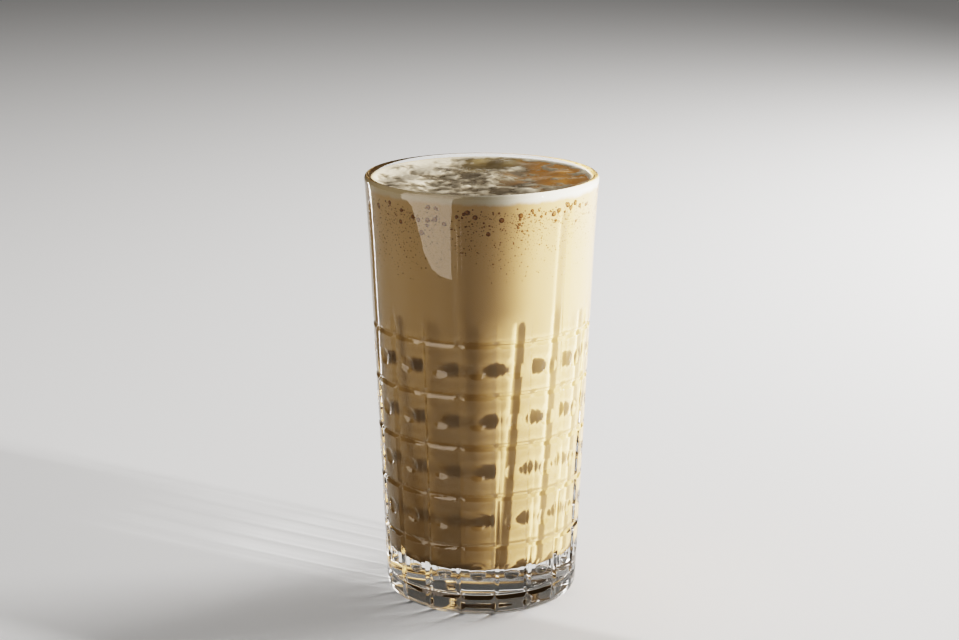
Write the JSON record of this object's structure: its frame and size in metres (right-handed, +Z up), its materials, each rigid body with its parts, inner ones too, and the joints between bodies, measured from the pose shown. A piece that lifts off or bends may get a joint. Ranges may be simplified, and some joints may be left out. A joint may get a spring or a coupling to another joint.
{
  "type": "iced coffee in a glass tumbler",
  "caption": "Tall pressed-glass tumbler of frothy iced milk coffee, with a grooved grid of dimples round its lower wall and a thick clear base, standing on a flat foot.",
  "frame": {"origin": "middle of the foot, on the surface it stands on", "axes": "+Z up along the glass's axis; -Y is the front, as the picture shows it"},
  "size_m": [0.0796, 0.0796, 0.1482],
  "materials": {
    "clear_glass": "clear fire-polished pressed glass",
    "milk_coffee": "cloudy milk coffee",
    "froth": "wet milk froth with small bubbles"
  },
  "bodies": {
    "root": {"glass": "clear_glass", "drink": "milk_coffee", "froth": "froth"}
  },
  "joints": []
}
